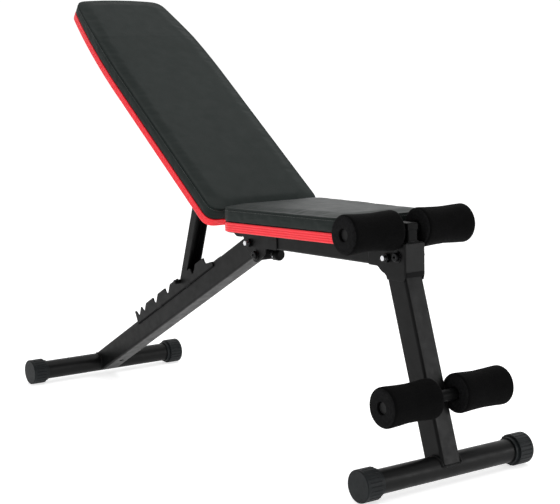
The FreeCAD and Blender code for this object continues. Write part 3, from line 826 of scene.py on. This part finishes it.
def zinc_plate():
    n = Nodes("zinc_plate")
    normal, edges = n.soft_edges(0.0004)
    tone = n.ramp(n.noise(180, 4.0, 0.6), 0.3, 0.7, (0.60, 0.61, 0.63), (0.78, 0.78, 0.80))
    # Painted highlight: the edges are mixed towards a paler, whiter grey.
    n.link(n.mix(edges, tone, (0.88, 0.88, 0.90)), n.shader.inputs["Base Color"])
    n.link(n.ramp(n.noise(500, 3.0), 0.3, 0.7, 0.20, 0.36), n.shader.inputs["Roughness"])
    n.link(n.bump(n.noise(900, 2.0, 0.5, (1, 6, 1)), 0.25, 0.00006, normal), n.shader.inputs["Normal"])
    n.set(Metallic=1.0)
    return n.material


def leatherette(name="leatherette", shine=0.13):
    """Black vinyl with a fine pebble grain and a slight green cast."""
    n = Nodes(name)
    grain = n.cells(760, "SMOOTH_F1")
    creases = n.cells(300, "DISTANCE_TO_EDGE")
    height = n.maths("ADD", n.maths("MULTIPLY", grain, 1.0), n.ramp(creases, 0.0, 0.12, 0.0, 0.5))
    height = n.maths("ADD", height, n.maths("MULTIPLY", n.noise(1700, 3.0, 0.6), 0.45))
    n.link(n.bump(height, 0.26, 0.00014), n.shader.inputs["Normal"])
    broad = n.ramp(n.noise(9, 4.0, 0.55), 0.3, 0.7, (0.0105, 0.0152, 0.0138), (0.0125, 0.0178, 0.0162))
    dips = n.ramp(grain, 0.1, 0.75, 0.0, 0.5)
    n.link(n.mix(dips, broad, (0.0085, 0.0122, 0.0110)), n.shader.inputs["Base Color"])
    n.link(n.ramp(n.noise(40, 4.0, 0.6), 0.3, 0.7, 0.44, 0.52), n.shader.inputs["Roughness"])
    n.set(Specular_IOR_Level=shine)
    return n.material


def thread():
    n = Nodes("thread")
    n.link(n.ramp(n.noise(2200, 2.0), 0.3, 0.7, (0.030, 0.032, 0.032), (0.060, 0.062, 0.062)),
           n.shader.inputs["Base Color"])
    n.link(n.bump(n.noise(3000, 2.0), 0.5, 0.0001), n.shader.inputs["Normal"])
    n.set(Roughness=0.6, Sheen_Weight=0.2)
    return n.material


def red_band():
    """Red moulded vinyl."""
    n = Nodes("red_band")
    tone = n.ramp(n.noise(30, 4.0, 0.6), 0.3, 0.7, (0.86, 0.012, 0.024), (0.93, 0.018, 0.034))
    n.link(tone, n.shader.inputs["Base Color"])
    n.link(n.ramp(n.noise(120, 3.0), 0.3, 0.7, 0.34, 0.46), n.shader.inputs["Roughness"])
    n.link(n.bump(n.noise(1400, 2.0, 0.5), 0.15, 0.00008), n.shader.inputs["Normal"])
    n.set(Specular_IOR_Level=0.45, Subsurface_Weight=0.04, Subsurface_Scale=0.002)
    return n.material


def foam_rubber(name, dark, light, pitted):
    """Closed cell foam: matte black, with pores. The cut ends are paler and more open."""
    n = Nodes(name)
    pores = n.ramp(n.cells(620, "F1"), 0.12, 0.55, 0.0, 1.0)
    coarse = n.ramp(n.noise(240, 5.0, 0.7), 0.35, 0.7, 0.0, 1.0)
    height = n.maths("ADD", pores, n.maths("MULTIPLY", coarse, 0.8))
    n.link(n.bump(height, 0.5 + pitted * 0.3, 0.0004), n.shader.inputs["Normal"])
    tone = n.ramp(n.noise(60 + 160 * pitted, 5.0, 0.65), 0.35, 0.7, dark, light)
    n.link(n.mix(pores, tuple(v * 0.5 for v in dark), tone), n.shader.inputs["Base Color"])
    n.set(Roughness=0.9, Specular_IOR_Level=0.06)
    return n.material


def moulded(name, dark, light, low, high, grain, shine=0.16):
    """Moulded black plastic, its rims painted paler as a highlight."""
    n = Nodes(name)
    normal, edges = n.soft_edges(0.0006)
    tone = n.ramp(n.noise(40, 4.0, 0.6), 0.3, 0.7, dark, light)
    painted_rim_highlight = n.maths("MULTIPLY", edges, 0.5)
    # Painted highlight: the rims are mixed halfway towards a paler grey.
    n.link(n.mix(painted_rim_highlight, tone, (0.018, 0.018, 0.0195)), n.shader.inputs["Base Color"])
    n.link(n.ramp(n.noise(160, 3.0), 0.3, 0.7, low, high), n.shader.inputs["Roughness"])
    n.link(n.bump(n.noise(grain, 2.0, 0.6), 0.25, 0.00008, normal), n.shader.inputs["Normal"])
    n.set(Specular_IOR_Level=shine)
    return n.material


def plywood():
    n = Nodes("plywood")
    plies = n.noise(22, 5.0, 0.6, (1, 1, 26))
    tone = n.ramp(plies, 0.3, 0.7, (0.10, 0.065, 0.038), (0.24, 0.165, 0.10))
    n.link(tone, n.shader.inputs["Base Color"])
    n.link(n.bump(n.noise(300, 3.0, 0.6, (1, 8, 1)), 0.3, 0.0002), n.shader.inputs["Normal"])
    n.set(Roughness=0.75)
    return n.material


def dust_cloth():
    """Black spun cloth with its rows of bonded dimples."""
    n = Nodes("dust_cloth")
    dimples = n.ramp(n.cells(520, "F1"), 0.15, 0.45, 0.0, 1.0)
    fibres = n.noise(900, 4.0, 0.7, (1, 3, 1))
    height = n.maths("ADD", dimples, n.maths("MULTIPLY", fibres, 0.6))
    n.link(n.bump(height, 0.4, 0.0003), n.shader.inputs["Normal"])
    n.link(n.mix(dimples, (0.012, 0.012, 0.012), (0.026, 0.026, 0.027)), n.shader.inputs["Base Color"])
    n.set(Roughness=0.9, Specular_IOR_Level=0.2, Sheen_Weight=0.15)
    return n.material


# The roller rods, post, clamp and base plate, given a copy of the powder coat with less shine as painted
# shade from the foams.
SHADED_COAT_NODES = ("upper_roller_rod", "lower_roller_rod", "roller_post", "roller_clamp", "roller_base_plate")


def dress(piece, material):
    piece.data.materials.clear()
    piece.data.materials.append(material)


def dress_all():
    """Each piece's material by its slot, and the few pieces that have their own."""
    by_slot = {
        "frame_paint": powder_coat(),
        "black_fastener": black_oxide(),
        "zinc_steel": zinc_plate(),
        "upholstery": leatherette(),
        "edge_band": red_band(),
        "plywood": plywood(),
        "roller_foam": foam_rubber("foam_skin", (0.0012, 0.0012, 0.0013), (0.0022, 0.0022, 0.0023), 0.0),
        "cap_plastic": moulded("cap_plastic", (0.0070, 0.0085, 0.0095), (0.0095, 0.0115, 0.0125),
                               0.46, 0.58, 700),
        "plug_plastic": moulded("plug_plastic", (0.0045, 0.0045, 0.0048), (0.007, 0.007, 0.0073),
                                0.42, 0.55, 900),
        "knob_plastic": moulded("knob_plastic", (0.0015, 0.0015, 0.0016), (0.0025, 0.0025, 0.0027),
                                0.30, 0.42, 500, 0.05),
    }
    for node, piece in NODES.items():
        dress(piece, by_slot[SLOT_OF[node]])
    # Painted shade: a copy of the powder coat with less shine, so these pieces read darker.
    shaded_coat = powder_coat("shaded_powder_coat", 0.045)
    for node in SHADED_COAT_NODES:
        dress(NODES[node], shaded_coat)
    stitches, cloth = thread(), dust_cloth()
    cut_foam = foam_rubber("cut_foam", (0.0055, 0.0055, 0.0058), (0.0125, 0.0125, 0.0130), 1.0)
    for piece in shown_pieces():
        if piece.name.endswith("_stitching"):
            dress(piece, stitches)
        elif piece.name.endswith("_dust_cover"):
            dress(piece, cloth)
        elif "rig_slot" in piece:
            dress(piece, by_slot[piece["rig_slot"]])
        # Painted shade: the backrest gets a copy of the vinyl with less shine, so it reads darker than the
        # seat.
        if piece.name == "back_cushion":
            dress(piece, leatherette("shaded_back_leatherette", 0.07))
        if piece.name.endswith("_sleeve"):
            piece.data.materials.append(cut_foam)
            for polygon in piece.data.polygons:
                polygon.material_index = 1 if abs(polygon.normal.y) > 0.75 else 0


# ---------------------------------------------------------------- studio
def add_light(name, kind, spot, aim, power, size):
    data = bpy.data.lights.new(name, kind)
    data.energy = power
    data.shape = "RECTANGLE"
    data.size, data.size_y = size
    light = bpy.data.objects.new(name, data)
    bpy.context.scene.collection.objects.link(light)
    light.location = spot
    light.rotation_mode = "QUATERNION"
    light.rotation_quaternion = (Vector(aim) - Vector(spot)).to_track_quat("-Z", "Y")
    return light


def make_studio():
    """A pale floor, a white surround, and softboxes overhead, at the foot end and on the near side."""
    mesh = bpy.data.meshes.new("floor")
    size = 40.0
    corners = [(-size, -size, 0), (size, -size, 0), (size, size, 0), (-size, size, 0)]
    mesh.from_pydata(corners, [], [(0, 1, 2, 3)])
    floor = bpy.data.objects.new("floor", mesh)
    bpy.context.scene.collection.objects.link(floor)
    n = Nodes("floor_paint")
    tone = n.ramp(n.noise(0.8), 0.3, 0.7, (0.78, 0.78, 0.78), (0.80, 0.80, 0.80))
    n.link(tone, n.shader.inputs["Base Color"])
    n.set(Roughness=0.8, Specular_IOR_Level=0.1, Emission_Color=(1.0, 1.0, 1.0, 1.0))
    n.set(Emission_Strength=0.66)
    dress(floor, n.material)
    bpy.context.scene.world = backdrop()
    add_light("top_softbox", "AREA", (0.4, 0.9, 3.0), (0, 0, 0.3), 30.0, (3.0, 1.6))
    add_light("foot_softbox", "AREA", (3.2, 2.2, 0.8), (0.5, 0, 0.3), 34.0, (1.4, 1.1))
    add_light("key_softbox", "AREA", (0.6, -3.0, 1.8), (0, 0, 0.4), 26.0, (1.8, 1.2))


def backdrop():
    """A white studio: bright behind the bench, dim on the near side, plain white in the picture."""
    world = bpy.data.worlds.new("studio")
    world.use_nodes = True
    tree = world.node_tree
    nodes, links = tree.nodes, tree.links
    way = nodes.new("ShaderNodeTexCoord")
    dot = nodes.new("ShaderNodeVectorMath")
    dot.operation = "DOT_PRODUCT"
    dot.inputs[1].default_value = (-0.70, 0.71, 0.0)
    span = nodes.new("ShaderNodeMapRange")
    span.inputs["From Min"].default_value = -0.35
    span.inputs["From Max"].default_value = 0.85
    span.inputs["To Min"].default_value = 0.24
    span.inputs["To Max"].default_value = 1.25
    links.new(way.outputs["Generated"], dot.inputs[0])
    links.new(dot.outputs["Value"], span.inputs["Value"])
    seen = nodes.new("ShaderNodeLightPath")
    pick = nodes.new("ShaderNodeMix")
    links.new(seen.outputs["Is Camera Ray"], pick.inputs[0])
    links.new(span.outputs["Result"], pick.inputs[2])
    pick.inputs[3].default_value = 1.05
    links.new(pick.outputs[0], nodes["Background"].inputs["Strength"])
    nodes["Background"].inputs["Color"].default_value = (1.0, 1.0, 1.0, 1)
    return world


def make_camera():
    """The bench from its foot end and right side, a little above it."""
    data = bpy.data.cameras.new("camera")
    camera = bpy.data.objects.new("camera", data)
    bpy.context.scene.collection.objects.link(camera)
    heading, dip, roll = (math.radians(a) for a in (144.41, -7.21, -1.36))
    forward = Vector((math.cos(dip) * math.cos(heading), math.cos(dip) * math.sin(heading), math.sin(dip)))
    right = Vector((math.sin(heading), -math.cos(heading), 0))
    up = right.cross(forward)
    across = right * math.cos(roll) + up * math.sin(roll)
    upward = up * math.cos(roll) - right * math.sin(roll)
    camera.matrix_world = (Matrix.Translation((2.49825, -1.68771, 0.74727))
                           @ Matrix((across, upward, -forward)).transposed().to_4x4())
    data.sensor_width = 36.0
    data.lens = 90.05
    bpy.context.scene.camera = camera


def main():
    make_camera()
    for name in PADS:
        make_cushion(name)
        make_stitching(name)
        make_band(name)
        make_underside(name)
    for seed, node in enumerate(n for n in sorted(NODES) if SLOT_OF[n] == "roller_foam"):
        make_foam(node, seed * 7.3)
    make_welds()
    make_bracket_lip_shade()
    make_rack_shadow_strips()
    dress_all()
    make_studio()
    bpy.context.scene.view_settings.view_transform = "Standard"


main()
